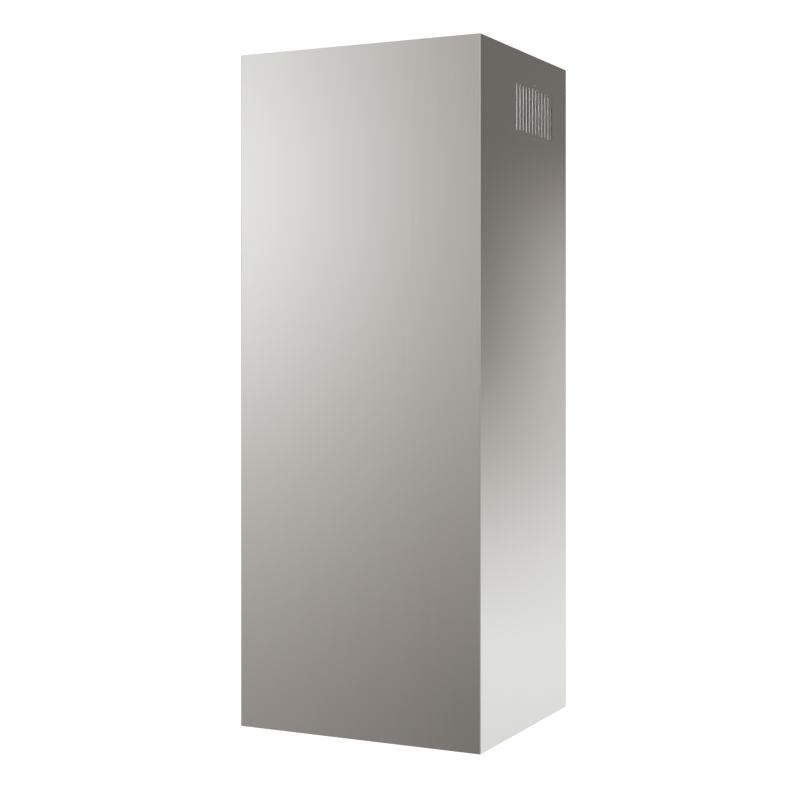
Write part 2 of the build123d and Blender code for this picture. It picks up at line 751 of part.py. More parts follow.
def scroll_half(name, side):
    """One half of the scroll housing, with its inlet ring and bayonet dogs."""
    with BuildPart() as half:
        with BuildSketch(Plane.YZ):
            with BuildLine():
                scroll_outline(scroll_wall, scroll_top)
            make_face()
        extrude(amount=side * (scroll_half_width + scroll_wall))
        with BuildSketch(Plane.YZ):
            with BuildLine():
                scroll_outline(scroll_wall + scroll_lip, scroll_top)
            make_face()
        extrude(amount=side * scroll_wall)
        with BuildSketch(Plane.XY.offset(scroll_top)):
            with Locations((0, vent_y)):
                Rectangle(scroll_half_width + scroll_wall + outlet_flange,
                          outlet_width + 2 * (scroll_wall + outlet_flange),
                          align=(Align.MIN if side > 0 else Align.MAX, Align.CENTER))
        extrude(amount=-scroll_wall)
        with BuildSketch(Plane.YZ):
            with BuildLine():
                scroll_outline(0, scroll_top + scroll_wall)
            make_face()
        extrude(amount=side * scroll_half_width, mode=Mode.SUBTRACT)
        with BuildSketch(Plane.YZ):
            with Locations((axis_y, axis_z)):
                Circle(inlet_ring_radius)
        extrude(amount=side * inlet_ring_end)
        with BuildSketch(Plane.YZ.offset(side * (inlet_ring_end - dog_thickness))):
            bayonet_ring(inlet_ring_radius - bayonet_root, inlet_ring_radius + bayonet_reach)
        extrude(amount=side * dog_thickness)
        with BuildSketch(Plane.YZ):
            with Locations((axis_y, axis_z)):
                Circle(inlet_radius)
        extrude(amount=side * inlet_ring_end, mode=Mode.SUBTRACT)
        with BuildSketch(Plane.YZ):
            with BuildLine():
                scroll_outline(0, scroll_top + scroll_wall)
            make_face()
        extrude(amount=side * scroll_half_width, mode=Mode.SUBTRACT)
        with BuildSketch(Plane.YZ):
            with Locations(*lip_points()):
                Circle(screw_radius)
        extrude(amount=side * scroll_wall, mode=Mode.SUBTRACT)
        with BuildSketch(Plane.XY.offset(scroll_top)):
            with Locations(*outlet_screw_points):
                Circle(screw_radius)
        extrude(amount=-scroll_wall, mode=Mode.SUBTRACT)
    finish(half, name)


scroll_half("scroll_housing_left", -1)
scroll_half("scroll_housing_right", 1)

with BuildPart() as blower_screws:
    for y, z in lip_points():
        with Locations(along_x(scroll_wall, y, z, 1)):
            pan_screw(2 * scroll_wall)
    for x, y in outlet_screw_points:
        with Locations((x, y, chassis_top)):
            pan_screw(chassis_sheet + gasket_thickness + scroll_wall)
    with Locations((0, vent_y, chassis_top + collar_wall)):
        with PolarLocations(collar_screw_radius, collar_screw_count, start_angle=45):
            pan_screw(chassis_sheet + collar_wall)
finish(blower_screws, "blower_screws")

with BuildPart() as outlet_gasket:
    with BuildSketch(Plane.XY.offset(scroll_top)):
        with Locations((0, vent_y)):
            Rectangle(2 * (scroll_half_width + scroll_wall + outlet_flange),
                      outlet_width + 2 * (scroll_wall + outlet_flange))
            Rectangle(2 * scroll_half_width, outlet_width, mode=Mode.SUBTRACT)
        with Locations(*outlet_screw_points):
            Circle(screw_radius, mode=Mode.SUBTRACT)
    extrude(amount=gasket_thickness)
finish(outlet_gasket, "outlet_gasket")

AXIS_PLANE = Plane((0, axis_y, axis_z), x_dir=(0, 1, 0), z_dir=(1, 0, 0))


def on_axis(x, outward=1):
    """Place on the impeller's axis at x, local +Z along the axis, outward 1 for +X and -1 for -X."""
    return along_x(x, axis_y, axis_z, outward)


with BuildPart() as impeller:
    with Locations(on_axis(0)):
        Cylinder(impeller_radius, disc_thickness)
        Cylinder(hub_radius, hub_length, align=UP)
    for side in (1, -1):
        with BuildSketch(AXIS_PLANE.offset(side * impeller_half_width)):
            Circle(impeller_radius)
            Circle(impeller_radius - blade_length, mode=Mode.SUBTRACT)
        extrude(amount=-side * disc_thickness)
    with BuildSketch(AXIS_PLANE.offset(-impeller_half_width)):
        with PolarLocations(impeller_radius - blade_length / 2, impeller_blades):
            Rectangle(blade_length, blade_thickness, rotation=blade_angle)
    extrude(amount=2 * impeller_half_width)
    with Locations(on_axis(0)):
        Cylinder(shaft_radius, 4 * hub_length, mode=Mode.SUBTRACT)
finish(impeller, "impeller")

with BuildPart() as impeller_nut:
    with BuildSketch(AXIS_PLANE.offset(hub_length)):
        RegularPolygon(nut_radius, 6)
        Circle(shaft_radius, mode=Mode.SUBTRACT)
    extrude(amount=nut_height)
finish(impeller_nut, "impeller_nut")

# ------------------------------------------------------------------ motor, on the left inside the impeller
stator_start = -motor_outer_end + bell_length
stator_end = -motor_inner_end - bell_length
stator_length = stator_end - stator_start
winding_length = stator_length + 2 * winding_reach
shaft_start = -motor_outer_end + bearing_seat + shaft_end_gap

with BuildPart() as motor_shaft:
    with Locations(on_axis(shaft_start)):
        Cylinder(shaft_radius, shaft_tip - shaft_start, align=UP)
finish(motor_shaft, "motor_shaft")

with BuildPart() as motor_rotor:
    with Locations(on_axis(stator_start)):
        ring(rotor_radius, shaft_radius, stator_length)
finish(motor_rotor, "motor_rotor")

with BuildPart() as motor_stator:
    with Locations(on_axis(stator_start)):
        Cylinder(motor_radius, stator_length, align=UP)
    with Locations(on_axis(stator_start - winding_reach)):
        Cylinder(motor_radius - 2 * motor_wall, winding_length, align=UP)
        Cylinder(rotor_radius + rotor_gap, winding_length, align=UP, mode=Mode.SUBTRACT)
finish(motor_stator, "motor_stator")


def end_bell(name, outer_x, inward):
    """Cup over one end of the motor, its closed end at outer_x and its mouth towards inward."""
    with BuildPart() as bell:
        with Locations(on_axis(outer_x, inward)):
            Cylinder(motor_radius, bell_length, align=UP)
        with Locations(on_axis(outer_x + inward * motor_wall, inward)):
            Cylinder(motor_radius - motor_wall, bell_length, align=UP, mode=Mode.SUBTRACT)
            Cylinder(bearing_radius + motor_wall, bearing_width, align=UP)
        with Locations(on_axis(outer_x + inward * bearing_seat, inward)):
            Cylinder(bearing_radius, bell_length, align=UP, mode=Mode.SUBTRACT)
        if inward < 0:
            with Locations(on_axis(outer_x)):
                Cylinder(shaft_radius + shaft_hole_clearance, bell_length, mode=Mode.SUBTRACT)
    finish(bell, name)


end_bell("motor_end_bell_left", -motor_outer_end, 1)
end_bell("motor_end_bell_right", -motor_inner_end, -1)

with BuildPart() as motor_bearings:
    for outer_x, inward in ((-motor_outer_end, 1), (-motor_inner_end, -1)):
        with Locations(on_axis(outer_x + inward * bearing_seat, inward)):
            ring(bearing_radius, shaft_radius + running_clearance, bearing_width)
finish(motor_bearings, "motor_bearings")


def radial(angle, radius, x):
    """Place at a radius from the impeller's axis, local +Z pointing away from the axis."""
    across = math.cos(math.radians(angle))
    up = math.sin(math.radians(angle))
    origin = (x, axis_y + radius * across, axis_z + radius * up)
    return Plane(origin, x_dir=(1, 0, 0), z_dir=(0, across, up)).location


spider_x = -inlet_ring_end + spider_width / 2
grommet_start = inlet_radius - grommet_length
with BuildPart() as motor_bracket:
    with Locations(on_axis(spider_x)):
        Cylinder(motor_radius + spider_ring, spider_width)
    for angle in spider_angles:
        with Locations(radial(angle, motor_radius, spider_x)):
            Box(spider_width, 2 * grommet_radius, grommet_start - motor_radius, align=UP)
    with Locations(on_axis(spider_x)):
        Cylinder(motor_radius, spider_width, mode=Mode.SUBTRACT)
finish(motor_bracket, "motor_bracket")

with BuildPart() as motor_grommets:
    for angle in spider_angles:
        with Locations(radial(angle, grommet_start, spider_x)):
            Cylinder(spider_width / 2, grommet_length + inlet_ring_wall / 2, align=UP)
    with BuildSketch(AXIS_PLANE.offset(-inlet_ring_end)):
        Circle(inlet_radius)
    extrude(amount=inlet_ring_length, mode=Mode.INTERSECT)
finish(motor_grommets, "motor_grommets")

# ------------------------------------------------------------------ charcoal cartridges
cartridge_start = scroll_half_width + scroll_wall + bayonet_clearance
cartridge_end = cartridge_start + cartridge_length
skirt_radius = inlet_ring_radius + bayonet_reach + bayonet_clearance
charcoal_start = cartridge_end - grille_thickness - charcoal_thickness
skirt_length = charcoal_start - grille_thickness - cartridge_start
lug_end = inlet_ring_end - dog_thickness - bayonet_clearance
grille_outer_radius = cartridge_radius - grille_border
grille_slot_length = grille_outer_radius - grille_inner_radius


def cartridge(side_name, side):
    """Round charcoal cartridge on one inlet, and the charcoal in it."""
    with BuildPart() as shell:
        with Locations(on_axis(side * cartridge_start, side)):
            Cylinder(cartridge_radius, cartridge_length, align=UP)
            Cylinder(skirt_radius, skirt_length, align=UP, mode=Mode.SUBTRACT)
        with Locations(on_axis(side * charcoal_start, side)):
            Cylinder(cartridge_radius - cartridge_wall, charcoal_thickness, align=UP, mode=Mode.SUBTRACT)
        with Locations(on_axis(side * cartridge_end, side)):
            with PolarLocations((grille_inner_radius + grille_outer_radius) / 2, grille_slot_count):
                Box(grille_slot_length, grille_slot_width, 4 * cartridge_length, mode=Mode.SUBTRACT)
        with BuildSketch(Plane.YZ.offset(side * cartridge_start)):
            bayonet_ring(inlet_ring_radius + bayonet_clearance, skirt_radius + bayonet_root)
        extrude(amount=side * (lug_end - cartridge_start))
    finish(shell, f"charcoal_cartridge_{side_name}")
    with BuildPart() as core:
        with Locations(on_axis(side * charcoal_start, side)):
            Cylinder(cartridge_radius - cartridge_wall, charcoal_thickness, align=UP)
    finish(core, f"charcoal_core_{side_name}")


cartridge("left", -1)
cartridge("right", 1)

# ------------------------------------------------------------------ outlet collar, damper and duct
flap_radius = collar_radius - collar_wall - flap_gap
flap_start = flap_barrel_radius + flap_barrel_web
with BuildPart() as outlet_collar:
    with Locations((0, vent_y, chassis_top)):
        Cylinder(collar_radius + collar_flange, collar_wall, align=UP)
        Cylinder(collar_radius, collar_height, align=UP)
        Cylinder(collar_radius - collar_wall, collar_height, align=UP, mode=Mode.SUBTRACT)
        with PolarLocations(collar_screw_radius, collar_screw_count, start_angle=45):
            Cylinder(screw_radius, 4 * collar_wall, mode=Mode.SUBTRACT)
    with Locations((0, vent_y, flap_z - flap_thickness / 2 - ledge_gap)):
        Cylinder(collar_radius, collar_wall, align=DOWN)
        Cylinder(collar_radius - collar_wall - ledge_width, collar_wall, align=DOWN, mode=Mode.SUBTRACT)
    with Locations(along_x(0, vent_y, flap_z, 1)):
        Cylinder(flap_pin_radius, casing_width, mode=Mode.SUBTRACT)
finish(outlet_collar, "outlet_collar")

with BuildPart() as damper_pin:
    with Locations(along_x(0, vent_y, flap_z, 1)):
        Cylinder(flap_pin_radius, 2 * collar_radius - collar_wall)
finish(damper_pin, "damper_pin")


def damper_flap(name, side, barrel_x):
    """Half-round flap on the side of the pin given by side, with two barrels on the pin."""
    with BuildPart() as flap:
        with BuildSketch(Plane.XY.offset(flap_z - flap_thickness / 2)):
            with Locations((0, vent_y)):
                Circle(flap_radius)
            with Locations((0, vent_y + side * flap_start)):
                Rectangle(3 * flap_radius, 2 * flap_radius, mode=Mode.SUBTRACT,
                          align=(Align.CENTER, Align.MAX if side > 0 else Align.MIN))
        extrude(amount=flap_thickness)
        for x in (-barrel_x, barrel_x):
            with Locations(along_x(x, vent_y, flap_z, 1)):
                Cylinder(flap_barrel_radius, flap_barrel_length)
            with Locations((x, vent_y + side * (flap_start + flap_pin_radius) / 2, flap_z)):
                Box(flap_barrel_length, flap_start, flap_thickness)
            with Locations(along_x(x, vent_y, flap_z, 1)):
                Cylinder(flap_pin_radius + running_clearance, flap_barrel_length, mode=Mode.SUBTRACT)
    finish(flap, name)


damper_flap("damper_flap_front", -1, front_barrel_x)
damper_flap("damper_flap_rear", 1, rear_barrel_x)

duct_bottom = chassis_top + collar_height - duct_lap
duct_top = diverter_under
with BuildPart() as exhaust_duct:
    with Locations((0, vent_y, duct_bottom)):
        ring(duct_outer_radius, collar_radius, duct_top - duct_bottom)
finish(exhaust_duct, "exhaust_duct")

with BuildPart() as duct_clamps:
    for z in (duct_bottom + duct_lap / 2, duct_top - duct_lap / 2):
        with Locations((0, vent_y, z)):
            Cylinder(duct_outer_radius + clamp_thickness, clamp_width)
            with Locations((0, -duct_outer_radius, 0)):
                Box(clamp_lug_width, clamp_lug_reach, clamp_width,
                    align=(Align.CENTER, Align.MAX, Align.CENTER))
            Cylinder(duct_outer_radius, clamp_width, mode=Mode.SUBTRACT)
finish(duct_clamps, "duct_clamps")

# ------------------------------------------------------------------ air diverter
inner_half_depth = diverter_half_depth - diverter_wall
inner_half_height = diverter_height / 2 - diverter_wall
with BuildPart() as air_diverter:
    with Locations((0, vent_y, vent_z)):
        Box(2 * diverter_half_width, 2 * diverter_half_depth, diverter_height)
        Box(2 * diverter_half_width, 2 * inner_half_depth, 2 * inner_half_height, mode=Mode.SUBTRACT)
    with Locations((0, vent_y, diverter_under)):
        Cylinder(collar_radius, 4 * diverter_wall, mode=Mode.SUBTRACT)
finish(air_diverter, "air_diverter")

with BuildPart() as diverter_spigot:
    with Locations((0, vent_y, diverter_under + diverter_wall)):
        ring(collar_radius, collar_radius - collar_wall, diverter_wall + duct_lap, DOWN)
finish(diverter_spigot, "diverter_spigot")

splitter_top = diverter_top - diverter_wall
splitter_apex = diverter_top - splitter_drop
splitter_slope = math.atan2(splitter_top - splitter_apex, splitter_width / 2)
splitter_rise = splitter_sheet / math.cos(splitter_slope)
splitter_edge = splitter_width / 2 - splitter_sheet / math.sin(splitter_slope)
with BuildPart() as diverter_splitter:
    with BuildSketch(Plane.XZ.offset(-vent_y - inner_half_depth)):
        with BuildLine():
            Polyline((-splitter_width / 2, splitter_top), (0, splitter_apex),
                     (splitter_width / 2, splitter_top),
                     (splitter_edge, splitter_top), (0, splitter_apex + splitter_rise),
                     (-splitter_edge, splitter_top), close=True)
        make_face()
    extrude(amount=2 * inner_half_depth)
finish(diverter_splitter, "diverter_splitter")

vane_turn = math.radians(vane_angle)
vane_reach = vane_width * math.cos(vane_turn) + vane_thickness * math.sin(vane_turn)
vane_y = vent_y + (slot_width - vane_width * math.sin(vane_turn)) / 2   # outer edges at the slots' rear edges
window_depth = slot_count * slot_pitch + 2 * window_side_margin
window_height = slot_length + 2 * window_end_margin


def diverter_sleeve(name, side):
    """Sliding end of the diverter, pegged into the casing, with slanted vanes behind the slots."""
    tube_depth = 2 * (inner_half_depth - seam_gap)
    tube_height = 2 * (inner_half_height - seam_gap)
    tube_length = inner_x - diverter_half_width + sleeve_overlap
    with BuildPart() as sleeve:
        with Locations(along_x(side * inner_x, vent_y, vent_z, -side)):
            Box(tube_depth, tube_height, tube_length, align=UP)
            Box(tube_depth - 2 * sleeve_wall, tube_height - 2 * sleeve_wall, tube_length,
                align=UP, mode=Mode.SUBTRACT)
            Box(tube_depth + 2 * sleeve_flange_reach, tube_height + 2 * sleeve_flange_reach, sleeve_flange,
                align=UP)
            Box(window_depth, window_height, 4 * sleeve_flange, mode=Mode.SUBTRACT)
        for y, z in peg_points:
            with Locations(along_x(side * inner_x, y, z, side)):
                Cylinder(peg_radius, casing_sheet - peg_shy, align=UP)
        with BuildSketch(Plane.XY.offset(vent_z - tube_height / 2 + sleeve_wall / 2)):
            with Locations((side * (inner_x - vane_gap - vane_reach / 2), vane_y)):
                with GridLocations(1, slot_pitch, 1, slot_count):
                    Rectangle(vane_width, vane_thickness, rotation=side * vane_angle)
        extrude(amount=tube_height - sleeve_wall)
    finish(sleeve, name)


diverter_sleeve("diverter_sleeve_left", -1)
diverter_sleeve("diverter_sleeve_right", 1)

hanger_x = bracket_opening_x / 2 + hanger_set
with BuildPart() as diverter_hangers:
    for side in (1, -1):
        with BuildSketch(Plane.XZ.offset(-vent_y - hanger_width / 2)):
            with BuildLine():
                Polyline((side * (hanger_x + hanger_foot), -bracket_sheet),
                         (side * hanger_x, -bracket_sheet), (side * hanger_x, diverter_top + angle_sheet),
                         (side * (hanger_x - hanger_foot), diverter_top + angle_sheet),
                         (side * (hanger_x - hanger_foot), diverter_top),
                         (side * (hanger_x + angle_sheet), diverter_top),
                         (side * (hanger_x + angle_sheet), -bracket_sheet - angle_sheet),
                         (side * (hanger_x + hanger_foot), -bracket_sheet - angle_sheet), close=True)
            make_face()
        extrude(amount=hanger_width)
finish(diverter_hangers, "diverter_hangers")

# ------------------------------------------------------------------ electrical box
box_top = chassis_top + box_height
with BuildPart() as electronics_box:
    with Locations((0, box_y, chassis_top)):
        Box(box_width, box_depth, box_height, align=UP)
    with Locations((0, box_y, chassis_top + box_wall)):
        Box(box_width - 2 * box_wall, box_depth - 2 * box_wall, box_height, align=UP, mode=Mode.SUBTRACT)
finish(electronics_box, "electronics_box")

with BuildPart() as electronics_cover:
    lip_width = box_width - 2 * box_wall - 2 * lid_clearance
    lip_depth = box_depth - 2 * box_wall - 2 * lid_clearance
    with Locations((0, box_y, box_top)):
        Box(box_width, box_depth, lid_thickness, align=UP)
        Box(lip_width, lip_depth, lid_lip, align=DOWN)
        Box(lip_width - 2 * box_wall, lip_depth - 2 * box_wall, lid_lip, align=DOWN, mode=Mode.SUBTRACT)
    with Locations((gland_x, gland_y, box_top)):
        Cylinder(gland_neck, 8 * lid_thickness, mode=Mode.SUBTRACT)
finish(electronics_cover, "electronics_cover")

with BuildPart() as cable_gland:
    with BuildSketch(Plane.XY.offset(box_top + lid_thickness)):
        with Locations((gland_x, gland_y)):
            RegularPolygon(gland_hex, 6)
    extrude(amount=gland_up / 3)
    with Locations((gland_x, gland_y, box_top + lid_thickness)):
        Cylinder(gland_radius, gland_up, align=UP)
        fillet(cable_gland.faces().sort_by(Axis.Z)[-1].edges(), gland_edge)
    with Locations((gland_x, gland_y, box_top + lid_thickness)):
        Cylinder(gland_neck, gland_down, align=DOWN)
    with BuildSketch(Plane.XY.offset(box_top)):
        with Locations((gland_x, gland_y)):
            RegularPolygon(gland_hex, 6)
    extrude(amount=-(gland_down - lid_thickness) / 2)
    with Locations((gland_x, gland_y, box_top)):
        Cylinder(gland_bore, 4 * gland_up, mode=Mode.SUBTRACT)
finish(cable_gland, "cable_gland")

floor_z = chassis_top + box_wall
with BuildPart() as terminal_block:
    with Locations((gland_x, box_y, floor_z)):
        Box(terminal_width, terminal_depth, terminal_foot, align=UP)
        with GridLocations(1, terminal_pitch, 1, terminal_count):
            Box(terminal_cell_width, terminal_cell_depth, terminal_height, align=UP)
            with Locations((0, 0, terminal_height)):
                Cylinder(terminal_hole_radius, terminal_hole_depth, align=DOWN, mode=Mode.SUBTRACT)
finish(terminal_block, "terminal_block")

with BuildPart() as motor_capacitor:
    with Locations((capacitor_x, box_y - capacitor_set, floor_z)):
        Cylinder(capacitor_radius, capacitor_height, align=UP)
        fillet(motor_capacitor.faces().sort_by(Axis.Z)[-1].edges(), capacitor_edge)
finish(motor_capacitor, "motor_capacitor")

with BuildPart() as lamp_driver:
    with Locations((driver_x, box_y, floor_z)):
        Box(driver_width, driver_depth, driver_height, align=UP)
        fillet(lamp_driver.edges().filter_by(Axis.Z), driver_edge)
finish(lamp_driver, "lamp_driver")
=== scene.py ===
import json
import math

import bpy
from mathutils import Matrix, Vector


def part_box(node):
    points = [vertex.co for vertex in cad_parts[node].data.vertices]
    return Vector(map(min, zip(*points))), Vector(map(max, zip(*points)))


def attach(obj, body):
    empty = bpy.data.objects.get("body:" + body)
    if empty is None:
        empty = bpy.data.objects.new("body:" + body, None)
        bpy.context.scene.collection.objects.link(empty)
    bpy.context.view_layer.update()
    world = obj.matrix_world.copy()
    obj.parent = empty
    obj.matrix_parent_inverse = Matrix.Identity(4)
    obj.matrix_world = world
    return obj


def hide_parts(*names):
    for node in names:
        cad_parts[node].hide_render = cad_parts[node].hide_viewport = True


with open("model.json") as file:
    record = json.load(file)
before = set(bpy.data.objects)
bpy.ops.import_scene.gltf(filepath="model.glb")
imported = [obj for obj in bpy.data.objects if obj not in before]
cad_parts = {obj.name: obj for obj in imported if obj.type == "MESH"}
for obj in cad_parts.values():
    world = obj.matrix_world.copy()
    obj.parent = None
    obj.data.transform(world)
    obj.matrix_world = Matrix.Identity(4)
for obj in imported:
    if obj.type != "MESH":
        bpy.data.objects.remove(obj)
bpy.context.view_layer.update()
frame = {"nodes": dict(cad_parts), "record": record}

record = frame["record"]
nodes = frame["nodes"]
casing_low, casing_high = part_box("casing_shell")
casing_middle = (casing_low + casing_high) / 2

# ------------------------------------------------------------------ camera
# Level with the upper middle of the hanging column, to the right of its front.
CAMERA_PLACE = Vector((1.002, -2.055, -0.399))
CAMERA_TURN = math.radians(26.258)
CAMERA_LENS = 73.41
CAMERA_SHIFT = -0.0653
CAMERA_SENSOR = 36.0
CAMERA_SEES = 100.0


def make_camera():
    """Level camera with a small vertical shift, so that upright edges stay upright."""
    data = bpy.data.cameras.new("camera")
    data.lens = CAMERA_LENS
    data.sensor_width = CAMERA_SENSOR
    data.shift_y = CAMERA_SHIFT
    data.clip_end = CAMERA_SEES
    camera = bpy.data.objects.new("camera", data)
    camera.location = CAMERA_PLACE
    camera.rotation_euler = (math.pi / 2, 0, CAMERA_TURN)
    bpy.context.scene.collection.objects.link(camera)
    bpy.context.scene.camera = camera


# ------------------------------------------------------------------ small helpers
SQUARE = ((-1, -1), (1, -1), (1, 1), (-1, 1))     # signs of a square's corners, in order


def new_material(name):
    """Material with only a Principled shader; gives the material, its nodes, links and shader."""
    material = bpy.data.materials.new(name)
    material.use_nodes = True
    tree = material.node_tree
    shader = tree.nodes["Principled BSDF"]
    return material, tree.nodes, tree.links, shader


def mesh_object(name, vertices, faces, material):
    """Object made of the given vertices and faces, in one material."""
    mesh = bpy.data.meshes.new(name)
    mesh.from_pydata(vertices, [], faces)
    mesh.update()
    mesh.materials.append(material)
    piece = bpy.data.objects.new(name, mesh)
    bpy.context.scene.collection.objects.link(piece)
    return piece


def add_shape(vertices, faces, shape):
    """Add another shape's vertices and faces to these lists."""
    more_vertices, more_faces = shape
    shift = len(vertices)
    vertices.extend(more_vertices)
    faces.extend(tuple(corner + shift for corner in face) for face in more_faces)


def ramp(tree_nodes, stops, smooth=True):
    """Colour ramp: stops are (position, level) pairs, where a level is a grey or three channels."""
    node = tree_nodes.new("ShaderNodeValToRGB")
    node.color_ramp.interpolation = "EASE" if smooth else "LINEAR"
    elements = node.color_ramp.elements
    while len(elements) < len(stops):
        elements.new(0.5)
    for element, (position, level) in zip(elements, stops):
        element.position = position
        element.color = (level, level, level, 1) if isinstance(level, float) else (*level, 1)
    return node


def math_node(tree_nodes, links, operation, first, second=0.0):
    """Math node whose inputs are sockets or numbers; gives its output socket."""
    node = tree_nodes.new("ShaderNodeMath")
    node.operation = operation
    for socket, value in zip(node.inputs, (first, second)):
        if isinstance(value, (int, float)):
            socket.default_value = value
        else:
            links.new(value, socket)
    return node.outputs[0]


def spread(tree_nodes, links, value, low, high, value_low=0.3, value_high=0.7):
    """Value between value_low and value_high spread over low to high, and held at them outside."""
    node = tree_nodes.new("ShaderNodeMapRange")
    node.inputs["From Min"].default_value = value_low
    node.inputs["From Max"].default_value = value_high
    node.inputs["To Min"].default_value = low
    node.inputs["To Max"].default_value = high
    links.new(value, node.inputs["Value"])
    return node.outputs[0]


def split_place(tree_nodes, links, place):
    """The three parts of a place or position socket."""
    split = tree_nodes.new("ShaderNodeSeparateXYZ")
    links.new(place, split.inputs[0])
    return split.outputs


# ------------------------------------------------------------------ stage
FLOOR_DROP = 2.75          # a room's height below the ceiling plane
ROOM = 12.0
WHITE = (1.0, 1.0, 1.0, 1.0)
BACKGROUND = 1.06          # just over white, so that it stays white
DOME_LEVELS = ((0.0, 0.30), (0.45, 0.45), (0.75, 0.85), (1.0, 1.1))   # brightness from floor to top
DOME_SEGMENTS = 48
DOME_RINGS = 24
CARD_AWAY = 1.6            # between the column and each card
CARD_HALF_WIDTH = 1.1
CORNER_CARD_HALF_WIDTH = 0.45
CARD_LOW = -2.2
CARD_HIGH = 1.3
FILL_CENTRE = (1.05, -1.9, -0.1)
FILL_HALF = 0.6            # half the fill card's width and height
FILL_STRENGTH = 12.0
FILL_COLOUR = (1.0, 0.99, 0.97, 1.0)

# Brightness up two upright lines of each card, as (height, brightness) pairs, and where across the
# card the two lines stand. Between the lines the brightness goes over evenly.
FRONT_LINES = (-0.305, 0.244)
FRONT_LEFT = ((-1.28, 0.39), (-1.11, 0.47), (-0.88, 0.60), (-0.65, 0.79), (-0.41, 1.05), (-0.18, 1.25),
              (0.06, 1.28), (0.27, 1.12))
FRONT_RIGHT = ((-1.28, 0.22), (-1.11, 0.28), (-0.88, 0.36), (-0.65, 0.44), (-0.41, 0.50), (-0.18, 0.54),
               (0.06, 0.54), (0.27, 0.51))
SIDE_LINES = (-0.217, -0.018)
SIDE_REAR = ((-1.28, 1.02), (-1.11, 1.10), (-0.88, 1.02), (-0.65, 0.85), (-0.41, 0.83), (-0.18, 0.62),
             (0.06, 0.23), (0.27, 0.20))
SIDE_NEAR = ((-1.28, 1.05), (-1.11, 1.16), (-0.88, 0.88), (-0.65, 0.52), (-0.41, 0.22), (-0.18, 0.165),
             (0.06, 0.175), (0.27, 0.185))
CORNER_LINES = (-1.0, 1.0)
CORNER = ((-1.28, 0.30), (-0.95, 0.30), (-0.60, 0.55), (-0.30, 1.40), (0.10, 1.20), (0.27, 0.90))
DIM_LIGHT = (1.09, 1.0, 0.93)
HALF_LIGHT = (1.05, 1.0, 0.955)
BRIGHT_LIGHT = (0.995, 1.0, 1.0)
WARMTH = ((0.1, DIM_LIGHT), (0.55, HALF_LIGHT), (1.0, BRIGHT_LIGHT))   # dim light is warmer


def emission_material(name):
    """Material that only glows; gives the material, its nodes, links and emission node."""
    material = bpy.data.materials.new(name)
    material.use_nodes = True
    tree = material.node_tree
    tree.nodes.clear()
    output = tree.nodes.new("ShaderNodeOutputMaterial")
    glow = tree.nodes.new("ShaderNodeEmission")
    tree.links.new(glow.outputs[0], output.inputs["Surface"])
    return material, tree.nodes, tree.links, glow


def brightness_up(tree_nodes, links, height, line):
    """Brightness at a height, read along one line of (height, brightness) pairs; gives its socket."""
    lowest, highest = line[0][0], line[-1][0]
    stops = [((place - lowest) / (highest - lowest), level) for place, level in line]
    levels = ramp(tree_nodes, stops, smooth=False)
    links.new(spread(tree_nodes, links, height, 0.0, 1.0, lowest, highest), levels.inputs[0])
    return levels.outputs[0]


def light_card(name, centre, across, half_width, lines, left_line, right_line):
    """Upright glowing card facing the column, hidden from the camera, as bright as its lines say."""
    material, tree_nodes, links, glow = emission_material(name)
    x, y = centre
    corners = [(x + side * across[0] * half_width, y + side * across[1] * half_width, z)
               for side, z in ((-1, CARD_LOW), (1, CARD_LOW), (1, CARD_HIGH), (-1, CARD_HIGH))]
    card = mesh_object(name, corners, [(0, 1, 2, 3)], material)
    card.visible_camera = False
    card.visible_shadow = False
    place = tree_nodes.new("ShaderNodeNewGeometry").outputs["Position"]
    place_x, place_y, height = split_place(tree_nodes, links, place)
    along = math_node(tree_nodes, links, "ADD",
                      math_node(tree_nodes, links, "MULTIPLY", place_x, across[0]),
                      math_node(tree_nodes, links, "MULTIPLY", place_y, across[1]))
    middle = x * across[0] + y * across[1]
    share = spread(tree_nodes, links, along, 0.0, 1.0, middle + lines[0], middle + lines[1])
    mix = tree_nodes.new("ShaderNodeMix")
    links.new(share, mix.inputs["Factor"])
    links.new(brightness_up(tree_nodes, links, height, left_line), mix.inputs["A"])
    links.new(brightness_up(tree_nodes, links, height, right_line), mix.inputs["B"])
    links.new(mix.outputs["Result"], glow.inputs["Strength"])
    warmth = ramp(tree_nodes, WARMTH, smooth=False)
    links.new(mix.outputs["Result"], warmth.inputs[0])
    links.new(warmth.outputs[0], glow.inputs["Color"])


def fill_card():
    """Glowing card near the camera that lights all but bare metal, and that no reflection shows."""
    material, _, _, glow = emission_material("fill_glow")
    glow.inputs["Color"].default_value = FILL_COLOUR
    glow.inputs["Strength"].default_value = FILL_STRENGTH
    x, y, z = FILL_CENTRE
    away = math.hypot(x, y)
    across = (-y / away * FILL_HALF, x / away * FILL_HALF)
    corners = [(x + side * across[0], y + side * across[1], z + rise * FILL_HALF)
               for side, rise in SQUARE]
    card = mesh_object("fill_card", corners, [(0, 1, 2, 3)], material)
    card.visible_camera = False
    card.visible_glossy = False
    card.visible_shadow = False


def white_surroundings():
    """World that is white to the camera and lights nothing."""
    world = bpy.data.worlds.new("world")
    bpy.context.scene.world = world
    world.use_nodes = True
    background = world.node_tree.nodes["Background"]
    background.inputs["Color"].default_value = WHITE
    background.inputs["Strength"].default_value = BACKGROUND
    world.cycles_visibility.glossy = False
    world.cycles_visibility.diffuse = False
    world.cycles_visibility.transmission = False


def white_floor():
    """Plain pale floor, as bright as the surroundings."""
    pale, _, _, glow = emission_material("floor_white")
    glow.inputs["Color"].default_value = WHITE
    glow.inputs["Strength"].default_value = BACKGROUND
    corners = [(side * ROOM, end * ROOM, -FLOOR_DROP) for side, end in SQUARE]
    floor = mesh_object("floor", corners, [(0, 1, 2, 3)], pale)
    floor.visible_glossy = False


